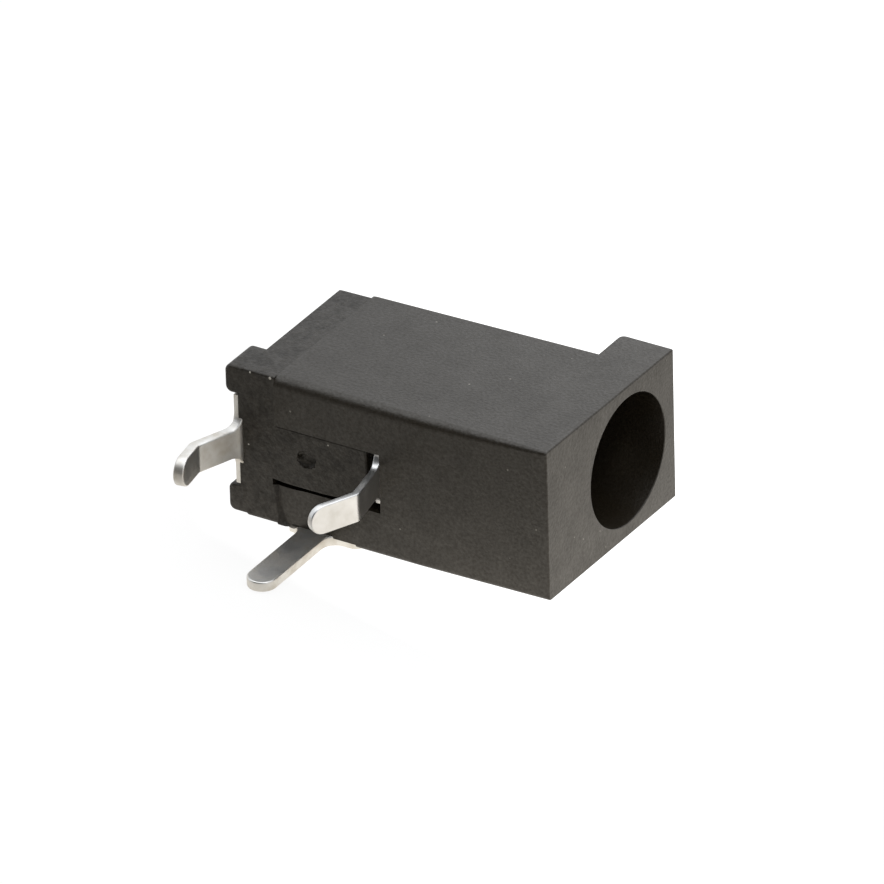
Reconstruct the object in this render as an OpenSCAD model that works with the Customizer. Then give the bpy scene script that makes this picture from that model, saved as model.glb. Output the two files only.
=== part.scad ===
// DC power jack for a 3.5 x 1.3 mm barrel plug, with three board pins and a break contact.
// The pieces are drawn as the jack stands on its board: +X out of the plug mouth, +Z away
// from the board, origin on the plug axis at the mouth. laid_on_side() then puts the jack
// down on its left side, as it comes to rest, so the board pins point along -Y.

/* [Housing] */
// Width across the two side faces
body_w = 4.5; // [4.3:0.1:6]
// Length from the plug mouth to the rear wall, without the ribs
body_l = 9.6; // [8.6:0.1:12]
// Height of the plug axis above the board
axis_h = 4.1; // [3.9:0.1:5]
// Height of the flange above the plug axis
flange_h = 2.4; // [2.3:0.05:3]
// Thickness of the flange round the mouth
flange_t = 1.6; // [1.2:0.1:2.4]
// Height of the side walls above the plug axis, behind the flange
shoulder_h = 1.15; // [0.9:0.05:1.4]
// Drop from the top of the flange to the flat crown behind it
crown_drop = 0.1; // [0.05:0.05:0.2]
// Fall of the arch towards the rear, in degrees
arch_fall = 1.6; // [0.5:0.1:2]
// Radius on the corners of the flange and the crown, seen from the side
corner_r = 0.15; // [0.05:0.05:0.2]

/* [Plug bore] */
// Bore for the sleeve of the plug
bore_d = 3.8; // [3.6:0.05:3.9]
// Length of the round guide at the mouth
guide_l = 1.35; // [1:0.05:1.5]
// Draft of the chamber behind the guide, on each side, in degrees
chamber_draft = 0.4; // [0.2:0.1:0.6]

/* [Centre pin] */
// Diameter of the free length of the pin
pin_d = 1.3; // [1:0.05:1.4]
// Distance of the tip behind the mouth
pin_recess = 1.65; // [1.6:0.05:3]
// Radius of the rounded nose
nose_r = 0.45; // [0.2:0.05:0.5]
// Diameter of the shank that passes through the base
shank_d = 0.9; // [0.7:0.05:0.95]
// Diameter of the peened head
head_d = 1.7; // [1.3:0.1:2]
// Height of the peened head
head_h = 0.25; // [0.2:0.05:0.4]

/* [Rear base] */
// Thickness of the wall that closes the rear
base_t = 1.05; // [0.9:0.05:1.3]
// Drop of the base's top below the housing's
base_drop = 0.13; // [0.05:0.01:0.2]
// Length of the boss that enters the chamber
boss_l = 0.6; // [0.4:0.05:0.9]
// Width of the channel in the board face
channel_w = 1.8; // [1.7:0.05:2]
// Offset of the channel towards the side with the shunt terminal
channel_shift = 0.1; // [0:0.05:0.1]
// Height of the tongue
tongue_h = 1; // [0.8:0.05:1.1]
// Length of the two ribs behind the rear wall
rib_l = 0.55; // [0.4:0.05:0.8]
// Height of the ribs above the board
rib_h = 1.25; // [0.8:0.05:2]
// Width of each rib
rib_w = 0.85; // [0.6:0.05:0.95]
// Radius on the corners of the ribs
rib_r = 0.2; // [0.1:0.05:0.3]
// Distance of the gate mark ahead of the rear wall
gate_ahead = 2; // [1.8:0.05:3]
// Diameter of the gate mark on the tongue
gate_d = 0.6; // [0.4:0.1:0.8]
// Depth of the gate mark
gate_h = 0.12; // [0.05:0.01:0.2]
// Depth of the step in one corner of the board face
pad_step = 0.05; // [0.02:0.01:0.1]

/* [Terminals] */
// Thickness of the sheet of the centre and shunt terminals
sheet_t = 0.3; // [0.2:0.05:0.35]
// Thickness of the spring sheet of the sleeve terminal
spring_t = 0.2; // [0.15:0.01:0.22]
// Width of the board pins
lead_w = 0.85; // [0.6:0.05:1]
// Radius of the fillets at the root of a board pin
root_r = 0.4; // [0.2:0.05:0.4]
// Reach of the centre pin's lead below the board
centre_lead_l = 2.55; // [2.2:0.05:3.5]
// Reach of the sleeve lead below the board
sleeve_lead_l = 2.9; // [2.4:0.05:3.5]
// Reach of the shunt lead below the board
shunt_lead_l = 3; // [2.2:0.05:3.5]
// Depth below the board at which the centre lead is kinked
centre_kink = 1.25; // [1.1:0.05:1.6]
// Depth below the board at which the sleeve lead is kinked
sleeve_kink = 1.45; // [1.1:0.05:1.8]
// Lean of the centre lead down to its kink, in degrees
centre_lean = 20.5; // [10:0.5:25]
// Lean of the centre lead beyond its kink, the other way, in degrees
centre_back = 9; // [5:0.5:15]
// Lean of the sleeve lead down to its kink, in degrees
sleeve_lean = 14; // [8:0.5:18]
// Lean of the sleeve lead beyond its kink, the other way, in degrees
sleeve_back = 25; // [15:0.5:30]

/* [Contact spring] */
// Distance of the sleeve lead ahead of the rear wall, at the board
sleeve_ahead = 4.1; // [3.6:0.05:4.4]
// Width of the spring strip
strip_w = 1.5; // [1.3:0.05:1.5]
// Inside radius of the curl
curl_r = 0.2; // [0.15:0.05:0.25]
// Room between the curl and the rear base
curl_gap = 0.45; // [0.25:0.05:0.7]
// Slope of the spring arm, in degrees
arm_slope = 14; // [12:0.5:18]
// Reach of the crest into the bore
crest_in = 0.35; // [0.2:0.05:0.4]
// Radius of the crest, to the middle of the sheet
crest_r = 0.6; // [0.4:0.05:0.7]
// Slope of the lip down to the break contact, in degrees
lip_slope = 50; // [40:1:60]
// Radius of the bend between lip and foot, to the middle of the sheet
lip_r = 0.3; // [0.2:0.05:0.35]
// Length of the foot that presses on the break contact
foot_l = 0.4; // [0.3:0.05:0.5]

/* [Shunt terminal] */
// Distance of the shunt lead ahead of the rear wall
shunt_ahead = 2.12; // [2:0.02:2.4]
// Reach of the side plate behind the shunt lead's middle
leg_back = 0.85; // [0.85:0.05:1]
// Reach of the side plate in front of the shunt lead's middle
leg_front = 1.4; // [1:0.05:1.6]
// Height of the plate's lower edge above the board
leg_gap = 0.15; // [0.05:0.05:0.3]
// Height of the arm that runs forward to the finger
arm_h = 0.8; // [0.6:0.05:1]
// Width of the anchor tab that is pressed into the side wall
anchor_w = 0.8; // [0.5:0.05:1]
// Depth of the anchor tab in the side wall
anchor_l = 0.8; // [0.5:0.05:1]
// Depth of the relief in the board face beside the shunt lead
relief_h = 0.1; // [0.05:0.01:0.15]

/* [Clearances] */
// Gap round what is pressed or pushed in
seat_gap = 0.02; // [0.01:0.01:0.04]
// Gap at each side of the tongue, and round the boss
seam_gap = 0.04; // [0.03:0.01:0.05]
// Gap between the spring and the plastic behind it
spring_gap = 0.1; // [0.06:0.01:0.15]
// Gap between the spring and the front end of its slot
slot_gap = 0.14; // [0.1:0.01:0.2]
// Cover of plastic between the bore and the break contact
cover_t = 0.05; // [0.03:0.01:0.1]

/* [Hidden] */
$fn = 96;
plastic = [0.23, 0.22, 0.21];
plated = [0.82, 0.81, 0.78];
// Overshoot of a cut past the face it opens
over = 0.5;

side_y = body_w / 2;
board_z = -axis_h;
tongue_top = board_z + tongue_h;
crown_h = flange_h - crown_drop;
bore_r = bore_d / 2;
housing_l = body_l - base_t;
boss_x = housing_l - boss_l;
gate_x = body_l - gate_ahead;
sleeve_x = body_l - sleeve_ahead;
shunt_x = body_l - shunt_ahead;
curl_x = housing_l - curl_gap - curl_r - spring_t;
chamber_r = bore_r + (housing_l - guide_l) * tan(chamber_draft);

// The ribs leave room for the centre terminal between them
rib_y = side_y - rib_w;
plate_w = 2 * (rib_y - seam_gap);

// The side walls of the channel
channel_low = channel_shift - channel_w / 2;
channel_high = channel_shift + channel_w / 2;

// The spring strip stands in the slot between the tongue and the end of the channel
slot_front = sleeve_x - spring_t / 2 - slot_gap;
slot_back = sleeve_x + spring_t / 2 + spring_gap;

// Radii of the spring's other bends, to the middle of the sheet
tight_r = spring_gap + spring_t / 2;
curl_mid_r = curl_r + spring_t / 2;

// Centre-line heights along the spring
strip_z = tongue_top + spring_t / 2;
curl_top_z = strip_z + curl_mid_r * (1 + cos(arm_slope));
crest_z = crest_in - bore_r - spring_t / 2;
finger_top = -bore_r - cover_t;
foot_z = finger_top - sheet_t - spring_t / 2;

// Straight runs that reach those heights
arm_run = (crest_z - crest_r * (1 - cos(arm_slope)) - curl_top_z) / sin(arm_slope);
lip_top_z = crest_z - crest_r * (1 - cos(lip_slope));
lip_run = (lip_top_z - foot_z - lip_r * (1 - cos(lip_slope))) / sin(lip_slope);
// Places along X where the foot starts and ends
crest_x = -curl_x + arm_run * cos(arm_slope) + (crest_r - curl_mid_r) * sin(arm_slope);
foot_x = crest_x + (crest_r + lip_r) * sin(lip_slope) + lip_run * cos(lip_slope);
foot_end = foot_x + foot_l;
// Height of the fold between the side plate and its tabs
fold_z = finger_top - sheet_t;

// The finger of the shunt terminal crosses over the foot
finger_y = -strip_w / 2;
pocket_front = foot_end + spring_gap;

// Lays the standing jack on its left side
module laid_on_side() {
    rotate([-90, 0, 0]) children();
}

// Sweeps a shape drawn in Y and Z along +X
module along_x(length) {
    rotate([90, 0, 90]) linear_extrude(length) children();
}

// Sweeps a shape drawn in X and Z to both sides of the middle plane
module across(width) {
    rotate([90, 0, 0]) linear_extrude(width, center = true) children();
}

// A block between two opposite corners
module block(low, high) {
    translate(low) cube(high - low);
}

// What is cut off a convex edge to round it, drawn at the edge with the solid behind and below
module edge_cut(r) {
    difference() {
        translate([-r, -r]) square(r + over);
        translate([-r, -r]) circle(r);
    }
}

// A straight run of strip with a bend at its end, and then the rest of the runs.
// Each run is [length, turn in degrees, radius of the bend's middle line].
module strip(runs, thickness, at = 0) {
    run = runs[at];
    translate([0, -thickness / 2]) square([run[0], thickness]);
    if (at < len(runs) - 1) translate([run[0], 0]) mirror([0, run[1] < 0 ? 1 : 0]) {
        turn = abs(run[1]);
        translate([0, run[2]]) ring_sector(run[2], thickness, turn);
        translate([run[2] * sin(turn), run[2] * (1 - cos(turn))]) rotate(turn)
            mirror([0, run[1] < 0 ? 1 : 0]) strip(runs, thickness, at + 1);
    }
}

// The bend itself: part of a ring, from straight below its centre round to the left
module ring_sector(mid_r, thickness, turn) {
    outer = mid_r + thickness / 2;
    steps = 4;
    wedge = [for (k = [0:steps]) 2 * outer * [sin(turn * k / steps), -cos(turn * k / steps)]];
    intersection() {
        difference() {
            circle(outer);
            circle(mid_r - thickness / 2);
        }
        polygon(concat([[0, 0]], wedge));
    }
}

// Outline of a board lead that hangs from an edge at height 0: a full round tip and filleted roots
module lead_outline(reach) {
    lead_r = lead_w / 2;
    translate([-lead_r, lead_r - reach]) square([lead_w, reach - lead_r]);
    translate([0, lead_r - reach]) circle(lead_r);
    difference() {
        translate([-lead_r - root_r, -root_r]) square([lead_w + 2 * root_r, root_r]);
        for (side = [-1, 1]) translate([side * (lead_r + root_r), -root_r]) circle(root_r);
    }
}

// That outline swept forward and back, wide enough for a lead that leans
module lead_sweep(x, reach) {
    translate([x - reach, 0, board_z]) along_x(2 * reach) lead_outline(reach);
}

// What stands above the plug axis behind the flange: side walls, and an arch with a flat crown
module arch_section(drop) {
    shoulder = shoulder_h - drop;
    intersection() {
        translate([-side_y, -over]) square([body_w, crown_h - drop + over]);
        union() {
            translate([-side_y, -over]) square([body_w, shoulder + over]);
            circle(norm([side_y, shoulder]));
        }
    }
}

// The body between two distances behind the mouth. Its arch falls towards the rear.
module body(front, rear, drop) {
    block([-rear, -side_y, board_z], [-front, side_y, 0]);
    intersection() {
        block([-rear, -side_y, 0], [-front, side_y, flange_h]);
        translate([-flange_t, 0, 0]) rotate([0, -arch_fall, 0])
            translate([-body_l, 0, 0]) along_x(body_l + over) arch_section(drop);
    }
}

module housing() color(plastic) difference() {
    union() {
        block([-flange_t, -side_y, board_z], [0, side_y, flange_h]);
        body(flange_t, housing_l, 0);
    }
    translate([-flange_t, 0, flange_h]) mirror([1, 0, 0]) across(body_w + over) edge_cut(corner_r);
    // Round guide at the mouth, then the drafted chamber
    translate([-guide_l, 0, 0]) rotate([0, 90, 0]) cylinder(r = bore_r, h = guide_l + over);
    translate([-housing_l, 0, 0]) rotate([0, 90, 0])
        cylinder(r1 = chamber_r, r2 = bore_r, h = housing_l - guide_l);
    // Channel in the board face for the tongue, and the spring's pocket between it and the bore
    block([-housing_l - over, channel_low, board_z - over], [-slot_front, channel_high, -bore_r / 2]);
    block([-housing_l - over, channel_low, tongue_top], [pocket_front, channel_high, -bore_r / 2]);
    // Window for the finger, and the blind slot for the anchor tab
    block([foot_x - seat_gap, 0, fold_z - seat_gap],
          [foot_end + seat_gap, side_y + over, finger_top + seat_gap]);
    block([-shunt_x - anchor_w / 2 - seat_gap, side_y - anchor_l - seat_gap, fold_z - seat_gap],
          [-shunt_x + anchor_w / 2 + seat_gap, side_y + over, finger_top + seat_gap]);
    // Relief in the board face beside the shunt lead
    block([-housing_l - over, channel_high, board_z - over],
          [-shunt_x + leg_front, side_y + over, board_z + relief_h]);
}

module rear_base() color(plastic) difference() {
    union() {
        body(housing_l, body_l, base_drop);
        // Boss in the chamber
        translate([-housing_l, 0, 0]) rotate([0, 90, 0]) cylinder(r = bore_r - seam_gap, h = boss_l);
        // Tongue in the channel
        block([-housing_l, channel_low + seam_gap, board_z], [-slot_back, channel_high - seam_gap, tongue_top]);
        for (side = [-1, 1]) translate([-body_l, side * (side_y - rib_w / 2), board_z]) rib();
    }
    translate([-slot_back, channel_shift, tongue_top]) across(channel_w) edge_cut(spring_gap);
    // Hole for the shank of the centre pin
    translate([-body_l - over, 0, 0]) rotate([0, 90, 0]) cylinder(d = shank_d + 2 * seat_gap, h = body_l);
    // Gate mark
    translate([-gate_x, 0, board_z - over]) cylinder(d = gate_d, h = over + gate_h);
    // Stepped corner of the board face
    block([-body_l - rib_l - over, -side_y - over, board_z - over],
          [-housing_l + over, channel_low, board_z + pad_step]);
}

// One rib, which stands behind the rear wall and has rounded rear edges
module rib() {
    linear_extrude(rib_h) {
        translate([rib_r - rib_l, -rib_w / 2]) square([rib_l - rib_r, rib_w]);
        translate([-rib_l, rib_r - rib_w / 2]) square([rib_l, rib_w - 2 * rib_r]);
        for (side = [-1, 1]) translate([rib_r - rib_l, side * (rib_w / 2 - rib_r)]) circle(rib_r);
    }
}

module centre_pin() color(plated) rotate([0, 90, 0]) rotate_extrude() {
    pin_r = pin_d / 2;
    // Free length, with its rounded nose
    translate([0, -boss_x]) square([pin_r, boss_x - pin_recess - nose_r]);
    translate([0, -pin_recess - nose_r]) square([pin_r - nose_r, nose_r]);
    translate([pin_r - nose_r, -pin_recess - nose_r]) intersection() {
        circle(nose_r);
        square(nose_r);
    }
    // Shank, and the head peened over the terminal
    translate([0, -body_l - sheet_t]) square([shank_d / 2, body_l + sheet_t - boss_x]);
    translate([0, -body_l - sheet_t - head_h]) square([head_d / 2, head_h]);
}

module centre_terminal() color(plated) difference() {
    union() {
        translate([-body_l - sheet_t, 0, 0]) along_x(sheet_t) {
            translate([-plate_w / 2, board_z]) square([plate_w, axis_h]);
            circle(plate_w / 2);
        }
        intersection() {
            translate([-body_l - sheet_t / 2, 0, board_z + root_r]) across(plate_w) rotate(-90)
                strip([[root_r, -centre_lean, sheet_t],
                       [centre_kink / cos(centre_lean), centre_lean + centre_back, sheet_t],
                       [centre_lead_l]], sheet_t);
            lead_sweep(-body_l - sheet_t, centre_lead_l);
        }
    }
    translate([-body_l - sheet_t - over, 0, 0]) rotate([0, 90, 0])
        cylinder(d = shank_d + 2 * seat_gap, h = sheet_t + 2 * over);
}

module sleeve_spring() color(plated) {
    // Kinked lead, below the slot
    intersection() {
        translate([-sleeve_x, 0, board_z + root_r]) across(strip_w) rotate(-90)
            strip([[root_r, sleeve_lean, spring_t],
                   [sleeve_kink / cos(sleeve_lean), -sleeve_lean - sleeve_back, spring_t],
                   [sleeve_lead_l]], spring_t);
        lead_sweep(-sleeve_x, sleeve_lead_l);
    }
    // Up through the slot, back along the tongue, round the curl and forward to the foot
    translate([-sleeve_x, 0, board_z]) across(strip_w) rotate(90)
        strip([[strip_z - tight_r - board_z, 90, tight_r],
               [curl_x - sleeve_x - tight_r, arm_slope - 180, curl_mid_r],
               [arm_run, -arm_slope - lip_slope, crest_r],
               [lip_run, lip_slope, lip_r],
               [foot_l]], spring_t);
}

module shunt_terminal() color(plated) {
    translate([0, side_y + sheet_t, 0]) rotate([90, 0, 0]) linear_extrude(sheet_t) {
        translate([-shunt_x - leg_back, board_z + leg_gap])
            square([leg_back + leg_front, fold_z - board_z - leg_gap]);
        translate([-shunt_x, fold_z - arm_h]) square([shunt_x + foot_end, arm_h]);
        translate([-shunt_x, board_z + leg_gap]) lead_outline(shunt_lead_l + leg_gap);
    }
    tab(foot_x, foot_l, side_y - finger_y);
    tab(-shunt_x - anchor_w / 2, anchor_w, anchor_l);
}

// A tab folded inwards from the top edge of the side plate, with its outside edge rounded
module tab(x, width, reach) {
    block([x, side_y - reach, fold_z], [x + width, side_y, finger_top]);
    intersection() {
        translate([x, side_y, fold_z]) rotate([0, 90, 0]) cylinder(r = sheet_t, h = width);
        block([x, side_y, fold_z], [x + width, side_y + sheet_t, finger_top]);
    }
}

laid_on_side() housing();
laid_on_side() rear_base();
laid_on_side() centre_pin();
laid_on_side() centre_terminal();
laid_on_side() sleeve_spring();
laid_on_side() shunt_terminal();
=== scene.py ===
import math

import bmesh
import bpy
from mathutils import Matrix, Vector, noise


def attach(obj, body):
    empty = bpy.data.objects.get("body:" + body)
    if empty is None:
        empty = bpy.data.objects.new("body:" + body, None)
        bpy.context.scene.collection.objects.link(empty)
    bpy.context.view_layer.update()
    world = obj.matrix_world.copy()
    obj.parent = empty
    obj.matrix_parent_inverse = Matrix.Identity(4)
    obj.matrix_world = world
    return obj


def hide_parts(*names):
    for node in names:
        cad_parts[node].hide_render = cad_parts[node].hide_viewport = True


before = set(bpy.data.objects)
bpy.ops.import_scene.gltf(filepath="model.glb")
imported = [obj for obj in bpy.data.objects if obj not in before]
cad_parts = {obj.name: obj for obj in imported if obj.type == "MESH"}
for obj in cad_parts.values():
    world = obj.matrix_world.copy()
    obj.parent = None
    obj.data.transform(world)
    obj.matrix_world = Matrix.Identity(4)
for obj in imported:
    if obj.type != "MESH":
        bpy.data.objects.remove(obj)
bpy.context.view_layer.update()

# ---------------------------------------------------------------- housing
# The housing is one moulding of black glass-filled PBT: a square flange round the mouth, then
# straight sides and an arch over the bore. Its long edge on the board side is well rounded,
# more so towards the rear, and the other edges are only broken by the mould.
MM = 0.001
BOARD_Y = -4.1         # face that sits on the circuit board; all sizes are in mm
SIDE_Z = 2.25          # half the width
LOWER_SWELL = 1.028    # the lower half came out a little fuller than the upper one
FLANGE_Y = 2.4
FLANGE_T = 1.6
FLANGE_REAR_R = 0.15
SHOULDER_Y = 1.15      # where each side wall turns into the arch
CROWN_Y = 2.3
ARCH_FALL = math.tan(math.radians(1.6))
HOUSING_L = 8.55
BORE_R = 1.9
CHAMBER_R = 1.95       # at the rear, since the chamber behind the guide has the mould's draft
GUIDE_L = 1.35
MOUTH_R = 0.03
EDGE_R = 0.05
LOW_EDGE_R = 0.14
LEAST_R = 0.02         # what is left of a radius where two of them meet
FACE_SKEW = 0.012
CHANNEL = (-1.0, 0.8)  # between these heights the tongue of the rear base closes the board face
TONGUE_T = 1.0         # its thickness
SLOT_X = -5.26         # front end of the slot for the sleeve lead
ROOM_X = -3.15         # front end of the room for the spring, just past its foot
FOOT = (-3.652, -3.252)     # rear and front of the spring's foot, and of the finger above it
TAB = (-7.88, -7.08)        # rear and front of the tab that holds the shunt terminal
PLAY = 0.02                 # of both folds in their slots
FOLD_SLOT = (-2.27, -1.93)  # low and high side of both slots
TAB_TOP = -1.43             # the depth of the tab's slot, as a height
RELIEF_FRONT = -6.08        # front end of the relief, and of the terminal's plate beside it
PAST = 0.5             # how far a cutting tool reaches past the face that it cuts


def linear(hex_colour):
    """sRGB hex to linear RGBA."""
    parts = [int(hex_colour[i:i + 2], 16) / 255 for i in (1, 3, 5)]
    return [c / 12.92 if c <= 0.04045 else ((c + 0.055) / 1.055) ** 2.4 for c in parts] + [1.0]


def add(tree, kind, settings=None, links=None):
    """Adds a shader node with its settings and input values, and links {input: (node, output)}."""
    n = tree.nodes.new("ShaderNode" + kind)
    for key, value in (settings or {}).items():
        if isinstance(key, str) and hasattr(n, key):
            setattr(n, key, value)
        else:
            n.inputs[key].default_value = value
    for key, (source, output) in (links or {}).items():
        tree.links.new(source.outputs[output], n.inputs[key])
    return n


def new_material(name):
    """An empty node material, and its tree."""
    m = bpy.data.materials.new(name)
    m.use_nodes = True
    m.node_tree.nodes.clear()
    return m, m.node_tree


def smooth(o, angle=35):
    """Smooth shading up to that angle, with the flat faces kept flat beside their rounded edges."""
    o.data.shade_smooth()
    o.data.set_sharp_from_angle(angle=math.radians(angle))
    o.modifiers.clear()
    m = o.modifiers.new("flat faces stay flat", "WEIGHTED_NORMAL")
    m.keep_sharp = True


def object_of(name, bm, angle=35):
    """A smooth-shaded object made of a bmesh in metres, whose faces are turned outwards."""
    bm.normal_update()
    bmesh.ops.recalc_face_normals(bm, faces=bm.faces)
    mesh = bpy.data.meshes.new(name)
    bm.to_mesh(mesh)
    bm.free()
    o = bpy.data.objects.new(name, mesh)
    bpy.context.scene.collection.objects.link(o)
    smooth(o, angle)
    return o


def object_from(name, verts, faces):
    """An object from points in mm and the faces between them."""
    bm = bmesh.new()
    made = [bm.verts.new(Vector(v) * MM) for v in verts]
    for f in faces:
        bm.faces.new([made[i] for i in f])
    return object_of(name, bm)


def skin_of(count, n):
    """Faces over that many rings of n points each, with both ends closed."""
    faces = [(i * n + j, i * n + (j + 1) % n, (i + 1) * n + (j + 1) % n, (i + 1) * n + j)
             for i in range(count - 1) for j in range(n)]
    return faces + [tuple(range(n)), tuple(range((count - 1) * n, count * n))]


def loft(name, rings):
    """Joins rings of equal length, given in order, and closes both ends."""
    return object_from(name, [p for ring in rings for p in ring], skin_of(len(rings), len(rings[0])))


def quarter(steps):
    """Angles of a quarter turn, in radians."""
    return [math.radians(90 * k / steps) for k in range(steps + 1)]


def arc(cy, cz, r, start, steps):
    """Points of a quarter arc in Y and Z about a centre, with angles from +Y towards +Z."""
    return [(cy + r * math.cos(math.radians(start + 90 * k / steps)),
             cz + r * math.sin(math.radians(start + 90 * k / steps))) for k in range(steps + 1)]


def towards_rear(x):
    """0 at the mouth, growing to 1 at 4 mm behind it."""
    return min(max(-x / 4, 0), 1)


def long_edge(x):
    """Radius of the long edge above the board face, which grows from the mouth to the rear."""
    return 0.08 + 0.21 * towards_rear(x) ** 0.7


def flare(x):
    """How far the board face leans out behind the mouth, so that the moulding leaves its core."""
    return 0.1 * towards_rear(x)


# Directions from the axis, in degrees, in which a section has its points
CORNER = math.degrees(math.atan2(SIDE_Z, FLANGE_Y))
SHOULDER = math.degrees(math.atan2(SIDE_Z, SHOULDER_Y))
CROWN = 24.5           # where the arch meets its flat crown
ROUND = 1.6            # to each side of the flange's corner, taken by its radius
ANGLES = sorted([CROWN + k * (CORNER - ROUND - CROWN) / 6 for k in range(6)]
                + [CORNER + ROUND * k / 3 for k in range(-3, 4)]
                + [CORNER + ROUND + k * (SHOULDER - CORNER - ROUND) / 6 for k in range(1, 7)]
                + [20, 15, 10, 5])
ANGLES = [-a for a in reversed(ANGLES)] + [0] + ANGLES


def section(x, flange=False, inset=0.0, top=FLANGE_Y, drop=0.0, long_r=None, lean=None):
    """Ring round the body at x: board face, lower side, arch or flange top, upper side. inset draws
    it in all round. drop lowers the arch, and lean and long_r stand in for flare and long_edge."""
    fall = drop + max(-x - FLANGE_T, 0) * ARCH_FALL
    board = BOARD_Y - (flare(x) if lean is None else lean) + inset
    side, top = SIDE_Z - inset, top - inset
    low_r = max(LOW_EDGE_R - inset, LEAST_R)
    long_r = max((long_r or long_edge(x)) - inset, LEAST_R)
    r = max(EDGE_R - inset, LEAST_R)
    reach = math.hypot(SIDE_Z, SHOULDER_Y) - inset
    ring = arc(board + low_r, low_r - side, low_r, 180, 8)
    for a in ANGLES:
        rad, past = math.radians(abs(a)), abs(a) - CORNER
        if not flange:
            y = min(reach * math.cos(rad), CROWN_Y - inset) - fall
            z = min(reach * math.sin(rad), side)
        elif abs(past) <= ROUND + 0.001:
            turn = math.radians(90 * (past + ROUND) / (2 * ROUND))
            y, z = top - r + r * math.cos(turn), side - r + r * math.sin(turn)
        elif past < 0:
            y, z = top, top * math.tan(rad)
        else:
            y, z = side / math.tan(rad), side
        ring.append((y, math.copysign(z, a)))
    ring += arc(board + long_r, side - long_r, long_r, 90, 14)
    return [(x, y, z * (LOWER_SWELL if z < 0 else 1)) for y, z in ring]


def cut(o, tool, operation="DIFFERENCE"):
    """Takes the tool's volume out of the object, and deletes the tool."""
    o.modifiers.clear()
    tool.modifiers.clear()
    m = o.modifiers.new("cut", "BOOLEAN")
    m.operation, m.solver, m.object = operation, "EXACT", tool
    bpy.context.view_layer.update()
    o.data = bpy.data.meshes.new_from_object(o.evaluated_get(bpy.context.evaluated_depsgraph_get()))
    bpy.data.objects.remove(tool)
    smooth(o)


def block(low, high):
    """A cutting tool between two corners."""
    (x0, y0, z0), (x1, y1, z1) = low, high
    verts = [(x, y, z) for x in (x0, x1) for y in (y0, y1) for z in (z0, z1)]
    faces = [(0, 1, 3, 2), (4, 6, 7, 5), (0, 4, 5, 1), (2, 3, 7, 6), (0, 2, 6, 4), (1, 5, 7, 3)]
    return object_from("tool", verts, faces)


def lathe(name, profile, steps):
    """Turns a profile of (x, radius) about the plug axis."""
    rings = [[(x, r * math.cos(2 * math.pi * k / steps), r * math.sin(2 * math.pi * k / steps))
              for k in range(steps)] for x, r in profile]
    return loft(name, rings)


def pebble(centre, size, swell):
    """A rough ball as a tool. swell(direction) gives how far each point goes along X, Y and Z."""
    bm = bmesh.new()
    bmesh.ops.create_icosphere(bm, subdivisions=4, radius=1.0)
    for v in bm.verts:
        v.co = Vector([c + s * d * f for c, s, d, f in zip(centre, size, v.co, swell(v.co))]) * MM
    return object_of("tool", bm)


# Rings from the rear to the mouth: the arched body, the flange's rear edge, and the flange
rings = [section(-HOUSING_L)]
rings += [section(-8 + 0.5 * k) for k in range(12)] + [section(-2.1), section(-FLANGE_T)]
for a in quarter(5):
    rings.append(section(-FLANGE_T + FLANGE_REAR_R * (1 - math.cos(a)), True,
                         top=FLANGE_Y - FLANGE_REAR_R * (1 - math.sin(a))))
rings += [section(x, True) for x in (-1.2, -0.9, -0.6, -0.3)]
for a in quarter(6):
    rings.append(section(-EDGE_R * (1 - math.sin(a)), True, EDGE_R * (1 - math.cos(a))))
housing = loft("housing_moulding", rings)

bore = [(-HOUSING_L - PAST, CHAMBER_R), (-HOUSING_L, CHAMBER_R), (-GUIDE_L, BORE_R), (-MOUTH_R, BORE_R)]
bore += [(-MOUTH_R + MOUTH_R * math.sin(a), BORE_R + MOUTH_R * (1 - math.cos(a))) for a in quarter(4)[1:]]
cut(housing, lathe("tool", bore + [(0.3, BORE_R + MOUTH_R)], 128))
# The channel for the tongue, then the room above it for the spring, both open to the rear
for front, low in ((SLOT_X, -5), (ROOM_X, BOARD_Y + TONGUE_T)):
    cut(housing, block((-9, low, CHANNEL[0]), (front, -1, CHANNEL[1])))
# Slots in the lower side for the two folds of the shunt terminal
for (rear, front), top in ((FOOT, 0), (TAB, TAB_TOP)):
    cut(housing, block((rear - PLAY, FOLD_SLOT[0], -3), (front + PLAY, FOLD_SLOT[1], top)))


def relief():
    """The shallow relief beside the shunt lead. Its rear edge is torn, where the melt froze short."""
    torn = [(RELIEF_FRONT, -0.96), (RELIEF_FRONT, -2.6), (-8.3, -2.6), (-8.42, -2.3), (-8.5, -2.24),
            (-8.56, -2.1), (-8.6, -1.95), (-8.66, -1.82), (-8.64, -1.68), (-8.69, -1.52), (-8.66, -1.4),
            (-8.7, -1.25), (-8.75, -1.08), (-8.7, -0.98), (-8.6, -0.93), (-8.3, -0.97)]
    # Level, and how far the torn edge lies forward there, so that it slopes
    levels = ((BOARD_Y - PAST, -0.3), (BOARD_Y - 0.12, -0.06), (BOARD_Y + 0.07, 0.17))
    return loft("tool", [[(x + (forward if x < -8.4 else 0), y, z) for x, z in torn]
                         for y, forward in levels])


def crack():
    """The open joint under the tongue, along the top of the relief."""
    line = [(-8.7, -0.9), (-8.5, -0.915), (-8.1, -0.95), (-7.7, -0.965), (-7.2, -0.95), (-6.75, -0.92),
            (-6.1, -0.91)]
    back = [(x, -1.1 - 0.03 * math.exp(-((x + 8.2) / 0.5) ** 2) + 0.02 * math.sin(7 * x))
            for x, _ in reversed(line)]
    return loft("tool", [[(x, y, z) for x, z in line + back] for y in (BOARD_Y - PAST, BOARD_Y + 0.4)])


cut(housing, relief())
cut(housing, crack())
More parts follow.
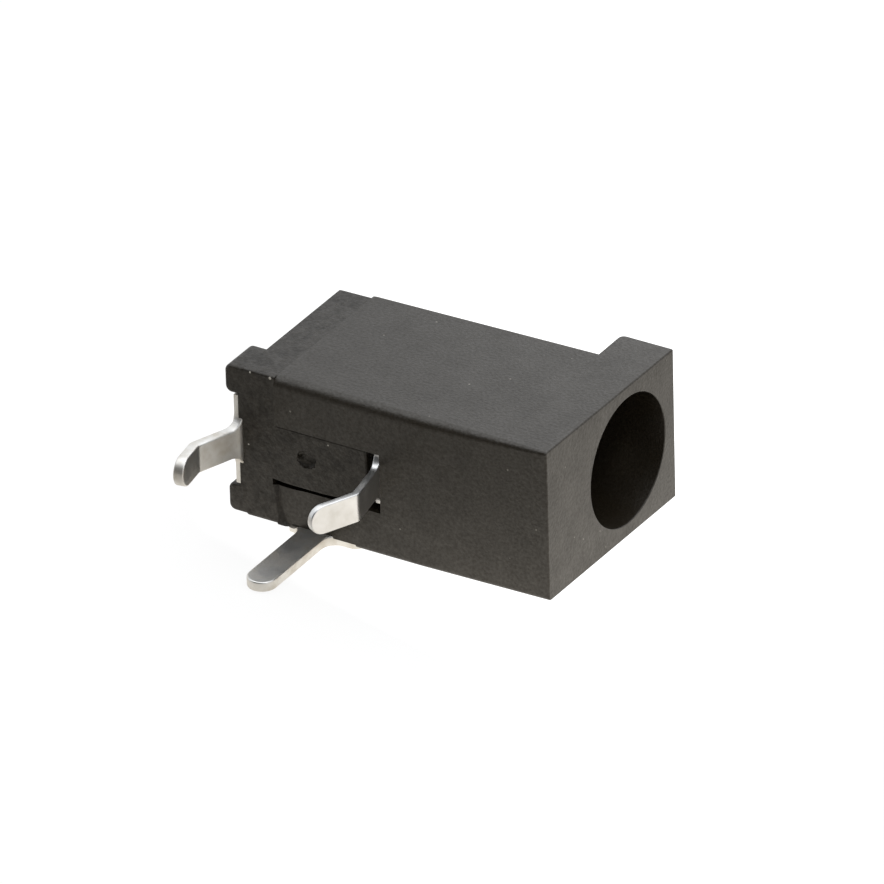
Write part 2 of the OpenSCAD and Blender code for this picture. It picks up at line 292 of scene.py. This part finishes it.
# A lump of flash hangs below the relief, beside the root of the shunt lead
cut(housing, pebble((-8.15, BOARD_Y + 0.23, -2.28), (0.38, 0.17, 0.15),
                    lambda d: [1 + 0.25 * noise.noise(d * 1.7 + Vector((5, 2, 0)))] * 3), "UNION")
# The mouth's face came off its mould a little askew: it stands back towards the board
for v in housing.data.vertices:
    v.co.x -= FACE_SKEW * (FLANGE_Y * MM - v.co.y) * max(1 + v.co.x / (FLANGE_T * MM), 0)


def plastic(name, base, rough, grit_mm, depth_mm, patch_mm, patch_depth_mm, patch_dark, ior=1.57,
            crumbs=()):
    """Moulded black PBT. The mould's spark-eroded skin leaves a fine even grit, drawn about as
    coarse as it has to be to show, over broad soft patches where the melt packed unevenly. A few
    ends of glass fibre show as pale specks, and so do crumbs, given as (x, y, z, radius)."""
    m, t = new_material(name)
    at = add(t, "TexCoord")
    grit = add(t, "TexNoise", {"Scale": 1 / (grit_mm * MM), "Detail": 3.0, "Roughness": 0.6},
               {"Vector": (at, "Object")})
    patch = add(t, "TexNoise", {"Scale": 1 / (patch_mm * MM), "Detail": 4.0, "Roughness": 0.62},
                {"Vector": (at, "Object")})
    tone = add(t, "ValToRGB", None, {"Fac": (patch, "Fac")})
    dark, pale = tone.color_ramp.elements
    dark.position, pale.position = 0.36, 0.62
    dark.color = [c * patch_dark for c in linear(base)[:3]] + [1]
    pale.color = linear(base)
    # Fibre ends: dots of 0.03 mm radius, in about one in eight of the 0.42 mm cells
    cells = add(t, "TexVoronoi", {"Scale": 1 / (0.42 * MM)}, {"Vector": (at, "Object")})
    dot = add(t, "Math", {"operation": "LESS_THAN", 1: 0.07}, {0: (cells, "Distance")})
    pick = add(t, "SeparateColor", None, {0: (cells, "Color")})
    some = add(t, "Math", {"operation": "GREATER_THAN", 1: 0.87}, {0: (pick, 0)})
    speck = add(t, "Math", {"operation": "MULTIPLY"}, {0: (dot, 0), 1: (some, 0)})
    tone = add(t, "Mix", {"data_type": "RGBA", 7: linear("#6f6a60")}, {0: (speck, 0), 6: (tone, 0)})
    near = None
    for x, y, z, r in crumbs:
        gap = add(t, "VectorMath", {"operation": "DISTANCE", 1: (x * MM, y * MM, z * MM)},
                  {0: (at, "Object")})
        here = add(t, "MapRange", {"From Min": r * MM, "From Max": 0.5 * r * MM}, {"Value": (gap, "Value")})
        near = here if near is None else add(t, "Math", {"operation": "MAXIMUM"},
                                             {0: (near, 0), 1: (here, 0)})
    if crumbs:
        tone = add(t, "Mix", {"data_type": "RGBA", 7: linear("#b4aea2")}, {0: (near, 0), 6: (tone, 2)})
    # Well-packed patches are glossier, and the grit's hollows and the dull patches mirror less
    gloss = add(t, "MapRange", {"From Min": 0.3, "From Max": 0.7, "To Min": rough + 0.05,
                                "To Max": rough - 0.04}, {"Value": (patch, "Fac")})
    pits = add(t, "MapRange", {"From Min": 0.3, "From Max": 0.7, "To Min": 0.36, "To Max": 0.64},
               {"Value": (grit, "Fac")})
    worn = add(t, "MapRange", {"From Min": 0.35, "From Max": 0.6, "To Min": 0.5 + patch_dark / 2,
                               "To Max": 1.0}, {"Value": (patch, "Fac")})
    shine = add(t, "Math", {"operation": "MULTIPLY"}, {0: (pits, 0), 1: (worn, 0)})
    coarse = add(t, "Bump", {"Strength": 1.0, "Distance": patch_depth_mm * MM}, {"Height": (patch, "Fac")})
    fine = add(t, "Bump", {"Strength": 1.0, "Distance": depth_mm * MM},
               {"Height": (grit, "Fac"), "Normal": (coarse, 0)})
    skin = add(t, "BsdfPrincipled", {"IOR": ior, "Specular Tint": linear("#fffcf6")},
               {"Base Color": (tone, 2), "Roughness": (gloss, 0), "Normal": (fine, 0),
                "Specular IOR Level": (shine, 0)})
    add(t, "OutputMaterial", None, {"Surface": (skin, 0)})
    return m


# Glass-filled PBT, moulded: near black, and grey only where it mirrors the light at a low angle
housing.data.materials.append(
    plastic("moulded PBT, spark-eroded skin", "#221c12", rough=0.4, grit_mm=0.09, depth_mm=0.01,
            patch_mm=0.9, patch_depth_mm=0.006, patch_dark=0.88))
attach(housing, "root")
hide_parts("housing")

# ---------------------------------------------------------------- rear base
# The rear base is a second moulding of the same PBT, pushed in from behind. Its wall closes the
# chamber, its tongue fills the channel in the board face, and two ribs guard the centre
# terminal. It came off a rougher mould, and the gate broke off inside a small round dish.
BASE_DROP = 0.13       # the wall's arch is lower than the housing's
BASE_LEAN = 0.03
BASE_FACE = BOARD_Y - BASE_LEAN
BASE_LONG_R = 0.06
WALL_L = 9.75
WALL_EDGE = 0.05
REAR_CORNER = [(-10, 1.75), (-9.76, 1.75), (-9.53, 2.27), (-9.53, 2.5), (-10, 2.5)]
RIB = (-10.13, -9.45)  # from the rear end to inside the wall
RIB_W = 0.85
RIB_TOP = BOARD_Y + 1.25
RIB_R = 0.2
RIB_EDGE = 0.09
TONGUE_EDGE = 0.07
SEAM = 0.025
SLOT_BACK = -5.7       # the tongue ends here, and the sleeve lead stands in front of it
BOSS_R = BORE_R - SEAM
BOSS_L = 0.6
APART = 0.003          # keeps faces that would lie in one plane apart while pieces are fused


def rounded(low_u, high_u, low_v, high_v, radii):
    """Outline of a rectangle with a radius on each corner, anticlockwise from the low one."""
    corners = [(low_u, low_v, 1, 1, 180), (high_u, low_v, -1, 1, 270), (high_u, high_v, -1, -1, 0),
               (low_u, high_v, 1, -1, 90)]
    return [p for (u, v, su, sv, a), r in zip(corners, radii)
            for p in (arc(u + su * r, v + sv * r, r, a, 6) if r > 0.01 else [(u, v)])]


def slab(name, outline, thickness, edge, place, cuts=()):
    """A plate of that outline with broken edges. place(u, v, h) puts each of its points, and cuts
    are the u at which it gets a row of points to bend along."""
    n = len(outline)
    pts = [Vector(p) for p in outline]
    if sum(pts[i - 1].x * pts[i].y - pts[i].x * pts[i - 1].y for i in range(n)) < 0:
        pts.reverse()
    inward = []
    for i in range(n):
        a, b = (pts[i] - pts[i - 1]).normalized(), (pts[(i + 1) % n] - pts[i]).normalized()
        mid = (a + b).normalized()
        inward.append(Vector((-mid.y, mid.x)) / max(mid.dot(a), 0.5))
    levels = [(edge * (1 - math.cos(a)), thickness / 2 - edge * (1 - math.sin(a)))
              for a in reversed(quarter(4))]
    levels += [(inset, -h) for inset, h in reversed(levels)]
    bm = bmesh.new()
    made = [bm.verts.new((p.x + d.x * inset, p.y + d.y * inset, h))
            for inset, h in levels for p, d in zip(pts, inward)]
    for f in skin_of(len(levels), n):
        bm.faces.new([made[i] for i in f])
    for u in cuts:
        bmesh.ops.bisect_plane(bm, geom=bm.verts[:] + bm.edges[:] + bm.faces[:], dist=1e-5,
                               plane_co=(u, 0, 0), plane_no=(1, 0, 0))
    for v in bm.verts:
        v.co = Vector(place(*v.co)) * MM
    return object_of(name, bm, 40)


def unite(pieces, name):
    """Fuses overlapping solids into one piece."""
    for p in pieces[1:]:
        cut(pieces[0], p, "UNION")
    pieces[0].name = pieces[0].data.name = name
    return pieces[0]


wall = loft("wall", [section(-WALL_L + WALL_EDGE * (1 - math.cos(a)), inset=WALL_EDGE * (1 - math.sin(a)),
                             drop=BASE_DROP, long_r=BASE_LONG_R, lean=BASE_LEAN) for a in quarter(5)]
            + [section(-HOUSING_L, drop=BASE_DROP, long_r=BASE_LONG_R, lean=BASE_LEAN)])
tongue = slab("tongue", rounded(-HOUSING_L - 0.06, SLOT_BACK, CHANNEL[0] + SEAM, CHANNEL[1] - SEAM, [0] * 4),
              TONGUE_T, TONGUE_EDGE, lambda u, v, h: (u, BASE_FACE + TONGUE_T / 2 - APART + h, v))


def broken_gate(d):
    """The gate tore the melt out unevenly, most of all in depth."""
    rough = 0.14 * noise.noise(d * 2.1 + Vector((3, 1, 7))) + 0.07 * noise.noise(d * 6.3)
    return 1 + rough, 1 + 2 * rough, 1 + rough


cut(tongue, pebble((-7.6, BASE_FACE, -0.03), (0.31, 0.15, 0.27), broken_gate))
cut(tongue, crack())
cut(wall, relief())
cut(wall, crack())
# The rear corners fall away beside the seat of the terminal
for side in (1, -1):
    cut(wall, loft("tool", [[(x, y, side * z) for x, z in REAR_CORNER] for y in (BOARD_Y - PAST, 3)]))
ribs = [slab("rib", rounded(*RIB, z - RIB_W / 2, z + RIB_W / 2, (RIB_R, 0, 0, RIB_R)),
             RIB_TOP - BASE_FACE, RIB_EDGE, lambda u, v, h: (u, (RIB_TOP + BASE_FACE) / 2 - APART + h, v))
        for z in (SIDE_Z - RIB_W / 2 - 0.001, RIB_W / 2 - SIDE_Z + 0.001)]
boss = lathe("boss", [(-HOUSING_L - 0.2, BOSS_R), (-HOUSING_L + BOSS_L - 0.05, BOSS_R),
                      (-HOUSING_L + BOSS_L, BOSS_R - 0.05)], 64)
base = unite([wall, tongue, boss] + ribs, "rear_base_moulding")
base.data.materials.clear()
# Crumbs torn off at the mould's parting line
CRUMBS = [(-9.31, BOARD_Y - 0.02, 2.2, 0.035), (-8.68, BOARD_Y - 0.03, 2.19, 0.05),
          (-9.0, BOARD_Y - 0.01, 2.2, 0.02), (-9.43, BASE_FACE, -0.05, 0.03), (-6.9, BASE_FACE, 0.62, 0.03)]
# The same PBT from a coarser mould: duller, and blotched where the melt packed badly
base.data.materials.append(
    plastic("moulded PBT, coarse skin", "#211b11", rough=0.46, grit_mm=0.1, depth_mm=0.014, patch_mm=0.3,
            patch_depth_mm=0.025, patch_dark=0.6, ior=1.54, crumbs=CRUMBS))
smooth(base)
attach(base, "root")
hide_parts("rear_base")

# ---------------------------------------------------------------- centre pin
# The centre pin is turned from brass rod and nickel plated, with a rounded nose. Its thin shank
# goes through the rear base and the centre terminal, and its end is peened over into a head.
PIN_R = 0.65
PIN_TIP = -1.65
NOSE_R = 0.45
SHANK_R = 0.45
SHANK_X = -7.95        # where the pin steps down, against the boss of the base
TERMINAL_X = -9.9      # rear face of the centre terminal
HEAD = [(0.25, 0.3), (0.24, 0.5), (0.2, 0.7), (0.12, 0.82), (0.04, 0.85), (0, 0.85)]


def plated(name, colour, stain, rough, grain_mm, depth_mm, stretch):
    """Plated sheet or rod. Rolling or turning leaves faint lines under the plating, and handling
    leaves soft smears that mirror the light a little less sharply."""
    m, t = new_material(name)
    at = add(t, "TexCoord")
    along = add(t, "Mapping", {"Scale": stretch}, {"Vector": (at, "Object")})
    lines = add(t, "TexNoise", {"Scale": 1 / (grain_mm * MM), "Detail": 2.0}, {"Vector": (along, 0)})
    smear = add(t, "TexNoise", {"Scale": 1 / (0.5 * MM), "Detail": 3.0, "Roughness": 0.55},
                {"Vector": (at, "Object")})
    gloss = add(t, "MapRange", {"From Min": 0.35, "From Max": 0.7, "To Min": rough - 0.03,
                                "To Max": rough + 0.08}, {"Value": (smear, "Fac")})
    tone = add(t, "ValToRGB", None, {"Fac": (smear, "Fac")})
    clean, stained = tone.color_ramp.elements
    clean.position, stained.position = 0.42, 0.72
    clean.color, stained.color = linear(colour), linear(stain)
    dents = add(t, "Bump", {"Strength": 1.0, "Distance": 0.004 * MM}, {"Height": (smear, "Fac")})
    scratch = add(t, "Bump", {"Strength": 1.0, "Distance": depth_mm * MM},
                  {"Height": (lines, "Fac"), "Normal": (dents, 0)})
    metal = add(t, "BsdfPrincipled", {"Metallic": 1.0},
                {"Base Color": (tone, 0), "Roughness": (gloss, 0), "Normal": (scratch, 0)})
    add(t, "OutputMaterial", None, {"Surface": (metal, 0)})
    return m


profile = [(TERMINAL_X - out, r) for out, r in HEAD]
profile += [(TERMINAL_X, SHANK_R), (SHANK_X, SHANK_R), (SHANK_X, PIN_R)]
profile += [(PIN_TIP - NOSE_R + NOSE_R * math.sin(a), PIN_R - NOSE_R + NOSE_R * math.cos(a))
            for a in quarter(10)]
pin = lathe("centre_pin_turned", profile, 72)
# Nickel over turned brass: a slightly yellow, sharp mirror with fine rings round it
pin.data.materials.append(plated("nickel-plated turned brass", "#cfc8ba", "#bdb4a2", rough=0.2,
                                 grain_mm=0.06, depth_mm=0.001, stretch=(3, 0.4, 0.4)))
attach(pin, "root")
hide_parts("centre_pin")

# ---------------------------------------------------------------- centre terminal
# The centre terminal is stamped from 0.3 mm brass sheet and tin plated. It lies on the rear wall
# under the peened head, and its lead leans back to a kink below the board and then forward.
SHEET = 0.3
SHEET_EDGE = 0.045
LEAD_W = 0.85
ROOT_R = 0.4           # fillet between a lead and its plate
ROOT_W = LEAD_W / 2 + ROOT_R
CENTRE_R = 1.36        # half the plate's width, and the radius of its round end
CENTRE_REACH = 2.55    # of the lead below the board face
CENTRE_KINK = 1.25     # depth of its kink
CENTRE_LEAN = 20.5
CENTRE_TIP = 9


def heading_to(a):
    """Unit vector of a heading."""
    return Vector((math.cos(a), math.sin(a)))


def bent(start, heading, runs):
    """Path of a sheet's middle line in a plane. Each run is (length, turn in degrees, radius). Gives
    the function that places a point of the path, and the length at the end of each piece of it."""
    p, a, s = Vector(start), math.radians(heading), 0.0
    pts = [(s, p, a)]
    for length, turn, radius in runs:
        p = p + heading_to(a) * length
        s += length
        pts.append((s, p, a))
        steps = max(int(abs(turn) / 4), 1)
        step = math.radians(turn / steps)
        for _ in range(steps if turn else 0):
            p = p + heading_to(a + step / 2) * 2 * radius * math.sin(abs(step) / 2)
            a += step
            s += radius * abs(step)
            pts.append((s, p, a))

    def place(u):
        """Point and heading at that distance along the path."""
        for (s0, p0, a0), (s1, p1, a1) in zip(pts, pts[1:]):
            if u <= s1 + 1e-9 and s1 > s0:
                f = (u - s0) / (s1 - s0)
                return p0.lerp(p1, f), a0 + (a1 - a0) * f
        return p1 + heading_to(a1) * (u - s1), a1
    return place, [s for s, _, _ in pts]


def lead_edge(root, reach):
    """One side of a lead from its root to the middle of its full-round tip, as (u, v) points."""
    r = LEAD_W / 2
    fillet = [(ROOT_R - ROOT_R * math.cos(a), min(ROOT_W - ROOT_R * math.sin(a), root)) for a in quarter(9)]
    return fillet + [(reach - r + r * math.sin(a), r * math.cos(a)) for a in quarter(15)]


def both_sides(edge):
    """Outline from one side of it, which ends on the middle line."""
    return edge + [(u, -v) for u, v in reversed(edge[:-1])]


def reach_of(path, kink, depth, tip):
    """Length of a lead whose last run starts at kink and slants by tip, down to that depth."""
    return kink + (depth + path(kink)[0].y - BOARD_Y) / math.cos(math.radians(tip))


path, marks = bent((TERMINAL_X + SHEET / 2, BOARD_Y), -90,
                   [(0, -CENTRE_LEAN, SHEET),
                    (CENTRE_KINK / math.cos(math.radians(CENTRE_LEAN)), CENTRE_LEAN + CENTRE_TIP, SHEET),
                    (3, 0, 0)])
reach = reach_of(path, marks[-2], CENTRE_REACH, CENTRE_TIP)
# The plate runs up from the board face, so the bore's axis is at u = BOARD_Y
dome = [(BOARD_Y - CENTRE_R * math.cos(a), CENTRE_R * math.sin(a)) for a in quarter(18)]
outline = both_sides(dome + [(-0.001, CENTRE_R)] + lead_edge(ROOT_W, reach))


def on_rear_wall(u, v, h):
    """The plate stands on the wall, and past the board face the lead follows its path."""
    if u <= 0:
        return TERMINAL_X + SHEET / 2 + h, BOARD_Y - u, v
    p, a = path(u)
    return p.x - h * math.sin(a), p.y + h * math.cos(a), v


centre = slab("centre_terminal_stamping", outline, SHEET, SHEET_EDGE, on_rear_wall,
              [m for m in marks if 0 < m < reach] + [0.5, 1.0])
# Tin over stamped brass: pale, faintly warm and satin, with rolling lines along the sheet
tin = plated("tin-plated stamped brass", "#e4e2dd", "#cfc9be", rough=0.41, grain_mm=0.05,
             depth_mm=0.0012, stretch=(1, 0.2, 1))
centre.data.materials.append(tin)
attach(centre, "root")
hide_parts("centre_terminal")

# ---------------------------------------------------------------- sleeve spring
# The sleeve contact is one strip of 0.2 mm phosphor bronze, silver plated. Its lead stands in the
# slot in front of the tongue. Inside, it runs back along the tongue, curls forward, rises into
# the bore as a crest for the plug's sleeve, and drops to a foot under the shunt terminal.
SPRING = 0.2
SPRING_EDGE = 0.035
SPRING_W = 1.5
SPRING_X = -5.37
SLEEVE_REACH = 2.9
SLEEVE_KINK = 1.45
SLEEVE_LEAN = 10
SLEEVE_TIP = 25
down, marks = bent((SPRING_X, BOARD_Y), -90,
                   [(0, SLEEVE_LEAN, SPRING),
                    (SLEEVE_KINK / math.cos(math.radians(SLEEVE_LEAN)), -SLEEVE_LEAN - SLEEVE_TIP, SPRING),
                    (3, 0, 0)])
inside, bends = bent((SPRING_X, BOARD_Y), 90,
                     [(0.9, 90, 0.2), (2.11, -166, 0.3), (3.064, -64, 0.6), (0.494, 50, 0.3), (0.4, 0, 0)])
reach = reach_of(down, marks[-2], SLEEVE_REACH, SLEEVE_TIP)
outline = both_sides([(-bends[-1], SPRING_W / 2), (-0.001, SPRING_W / 2)] + lead_edge(SPRING_W / 2, reach))


def in_the_slot(u, v, h):
    """Down the lead for u above 0, and along the strip inside for u below it."""
    p, a = down(u) if u > 0 else inside(-u)
    h = h if u > 0 else -h
    return p.x - h * math.sin(a), p.y + h * math.cos(a), v


spring = slab("sleeve_spring_stamping", outline, SPRING, SPRING_EDGE, in_the_slot,
              [m for m in marks if 0 < m < reach] + [-m for m in bends[:-1] if m > 0.01] + [0.5, 1.0])
# Silver over phosphor bronze: whiter and a little smoother than the tin
spring.data.materials.append(plated("silver-plated phosphor bronze", "#e2e1df", "#d9d7d2", rough=0.33,
                                    grain_mm=0.05, depth_mm=0.001, stretch=(1, 0.2, 1)))
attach(spring, "root")
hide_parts("sleeve_spring")

# ---------------------------------------------------------------- shunt terminal
# The shunt terminal is stamped from the same tinned sheet and lies along the lower side. One tab
# is folded into the side wall, and a longer finger is folded in over the foot of the spring.
SHUNT_X = -7.48
SHUNT_REACH = 3.0
SHUNT_REAR = -8.33
PLATE_LOW = BOARD_Y + 0.15
PLATE_R = 0.35         # on the plate's corner at the relief
FOLD_Y = -2.25
ARM_W = 0.8            # of the arm that carries the finger
FINGER_L = 3.0
TAB_L = 0.8
lead = both_sides(lead_edge(ROOT_W, SHUNT_REACH + PLATE_LOW - BOARD_Y))
outline = [(SHUNT_X + v, PLATE_LOW - u) for u, v in lead]
outline += [(SHUNT_REAR, PLATE_LOW), (SHUNT_REAR, FOLD_Y), (FOOT[1], FOLD_Y), (FOOT[1], FOLD_Y - ARM_W),
            (RELIEF_FRONT, FOLD_Y - ARM_W)]
outline += [(RELIEF_FRONT - PLATE_R * (1 - math.cos(a)), PLATE_LOW + PLATE_R * (1 - math.sin(a)))
            for a in quarter(6)]
pieces = [slab("plate", outline, SHEET, SHEET_EDGE, lambda u, v, h: (u, v, -SIDE_Z - SHEET / 2 + h))]
for (rear, front), length in ((FOOT, FINGER_L), (TAB, TAB_L)):
    fold, turns = bent((FOLD_Y - 0.1, -SIDE_Z - SHEET / 2), 0, [(0.1, 90, SHEET / 2), (length, 0, 0)])

    def folded(u, v, h):
        """Off the plate's edge, round the fold and up into the side wall."""
        p, a = fold(u)
        return v, p.x - h * math.sin(a), p.y + h * math.cos(a)
    pieces.append(slab("fold", [(0, rear), (turns[-1], rear), (turns[-1], front), (0, front)],
                       SHEET - 0.008, SHEET_EDGE, folded, [m for m in turns[:-1] if m > 0.01]))
shunt = unite(pieces, "shunt_terminal_stamping")
shunt.data.materials.clear()
shunt.data.materials.append(tin)
smooth(shunt, 40)
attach(shunt, "root")
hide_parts("shunt_terminal")

# ---------------------------------------------------------------- camera, light and floor
# A plain light tent: bright above and behind, white paper below, and dark where the camera
# looks in. The floor keeps a soft contact shadow.
AZIMUTH, ELEVATION, ROLL = (math.radians(a) for a in (32.135, 29.797, -1.537))
EYE = (-5.007, 0.4985, 392.63)  # along the camera's right, up and back
FLOOR_Z = -2.56                 # just under the shunt terminal's plate
sc = bpy.context.scene
back = Vector((math.sin(AZIMUTH) * math.cos(ELEVATION), -math.cos(AZIMUTH) * math.cos(ELEVATION),
               math.sin(ELEVATION)))
right = Vector((math.cos(AZIMUTH), math.sin(AZIMUTH), 0))
up = back.cross(right)
rows = Matrix((math.cos(ROLL) * right + math.sin(ROLL) * up,
               math.cos(ROLL) * up - math.sin(ROLL) * right, back))
turn = rows.transposed()
cam = bpy.data.objects.new("camera", bpy.data.cameras.new("camera"))
sc.collection.objects.link(cam)
cam.matrix_world = Matrix.Translation(turn @ Vector(EYE) * MM) @ turn.to_4x4()
cam.data.sensor_width = 36
cam.data.lens = 597.81014
cam.data.clip_start = 0.01
sc.camera = cam
sc.view_settings.view_transform = "Standard"

# White paper with painted light: it glows though it is no lamp, more so close to the jack, and takes a soft
# shadow.
# The glow is a painted pool of light, brightest in a rectangle under the jack and beside its top, and dims
# most of all past the leads
paper, t = new_material("white paper, painted glow")
at = add(t, "TexCoord")
out = add(t, "VectorMath", {"operation": "SUBTRACT", 1: (-5 * MM, 1.5 * MM, 0)}, {0: (at, "Object")})
out = add(t, "VectorMath", {"operation": "ABSOLUTE"}, {0: (out, 0)})
out = add(t, "VectorMath", {"operation": "SUBTRACT", 1: (5 * MM, 5.7 * MM, 0)}, {0: (out, 0)})
out = add(t, "VectorMath", {"operation": "MAXIMUM", 1: (0, 0, 0)}, {0: (out, 0)})
out = add(t, "VectorMath", {"operation": "LENGTH"}, {0: (out, 0)})
fade = add(t, "MapRange", {"interpolation_type": "SMOOTHSTEP", "From Min": 0.0, "From Max": 7 * MM,
                           "To Min": 1.94, "To Max": 0.98}, {"Value": (out, "Value")})
along = add(t, "VectorMath", {"operation": "DOT_PRODUCT", 1: (0.53, 0.85, 0)}, {0: (at, "Object")})
dim = add(t, "MapRange", {"interpolation_type": "SMOOTHSTEP", "From Min": -14 * MM, "From Max": -2 * MM,
                          "To Min": 0.5, "To Max": 1.0}, {"Value": (along, "Value")})
fade = add(t, "Math", {"operation": "MULTIPLY"}, {0: (fade, 0), 1: (dim, 0)})
ray = add(t, "LightPath")
plain = add(t, "Math", {"operation": "MULTIPLY", 1: 1.03}, {0: (ray, "Is Camera Ray")})
glow = add(t, "Math", {"operation": "MAXIMUM"}, {0: (fade, 0), 1: (plain, 0)})
seen = add(t, "Math", {"operation": "MAXIMUM"}, {0: (ray, "Is Camera Ray"), 1: (ray, "Is Glossy Ray")})
seen = add(t, "Math", {"operation": "MAXIMUM"}, {0: (seen, 0), 1: (ray, "Is Transmission Ray")})
part = add(t, "Math", {"operation": "MULTIPLY", 1: 0.85}, {0: (seen, 0)})
# Painted warm reflection: the glow is a little warm where the jack mirrors it, and plain white to the camera
tint = add(t, "Mix", {"data_type": "RGBA", 6: linear("#fffaf2"), 7: linear("#ffffff")},
           {0: (ray, "Is Camera Ray")})
sheet = add(t, "BsdfPrincipled", {"Base Color": linear("#f2f0ec"), "Roughness": 1.0,
                                  "Specular IOR Level": 0.0})
light = add(t, "Emission", None, {"Color": (tint, 2), "Strength": (glow, 0)})
both = add(t, "MixShader", None, {0: (part, 0), 1: (sheet, 0), 2: (light, 0)})
add(t, "OutputMaterial", None, {"Surface": (both, 0)})
corners = [(-800, -800), (800, -800), (800, 800), (-800, 800)]
floor = object_from("floor", [(x, y, FLOOR_Z) for x, y in corners], [(0, 1, 2, 3)])
floor.data.materials.append(paper)

# A soft box behind the jack, whose edge grazes the top face towards the mouth
lamp = bpy.data.lights.new("soft box", "AREA")
lamp.size = 30 * MM
lamp.energy = 0.0027
box = bpy.data.objects.new("soft box", lamp)
box.location = Vector((-15, 50, 32)) * MM
box.rotation_euler = (box.location - Vector((-4, 0, 0)) * MM).to_track_quat("Z", "Y").to_euler()
sc.collection.objects.link(box)

# The tent: white all round, about twice as bright overhead, and dark towards the board side
world = bpy.data.worlds.new("light tent")
sc.world = world
world.use_nodes = True
t = world.node_tree
t.nodes.clear()
at = add(t, "TexCoord")
aim = add(t, "VectorMath", {"operation": "DOT_PRODUCT", 1: Vector((-0.1, -0.92, 0.3)).normalized()},
          {0: (at, "Generated")})
opening = add(t, "MapRange", {"interpolation_type": "SMOOTHSTEP", "From Min": math.cos(math.radians(58)),
                              "From Max": math.cos(math.radians(36)), "To Min": 0.97, "To Max": 0.06},
              {"Value": (aim, "Value")})
height = add(t, "SeparateXYZ", None, {0: (at, "Generated")})
above = add(t, "MapRange", {"interpolation_type": "SMOOTHSTEP", "From Min": 0.6, "From Max": 0.85,
                            "To Min": 1.0, "To Max": 1.9}, {"Value": (height, "Z")})
strength = add(t, "Math", {"operation": "MULTIPLY"}, {0: (opening, 0), 1: (above, 0)})
sky = add(t, "Background", {"Color": linear("#f7faff")}, {"Strength": (strength, 0)})
add(t, "OutputWorld", None, {"Surface": (sky, 0)})
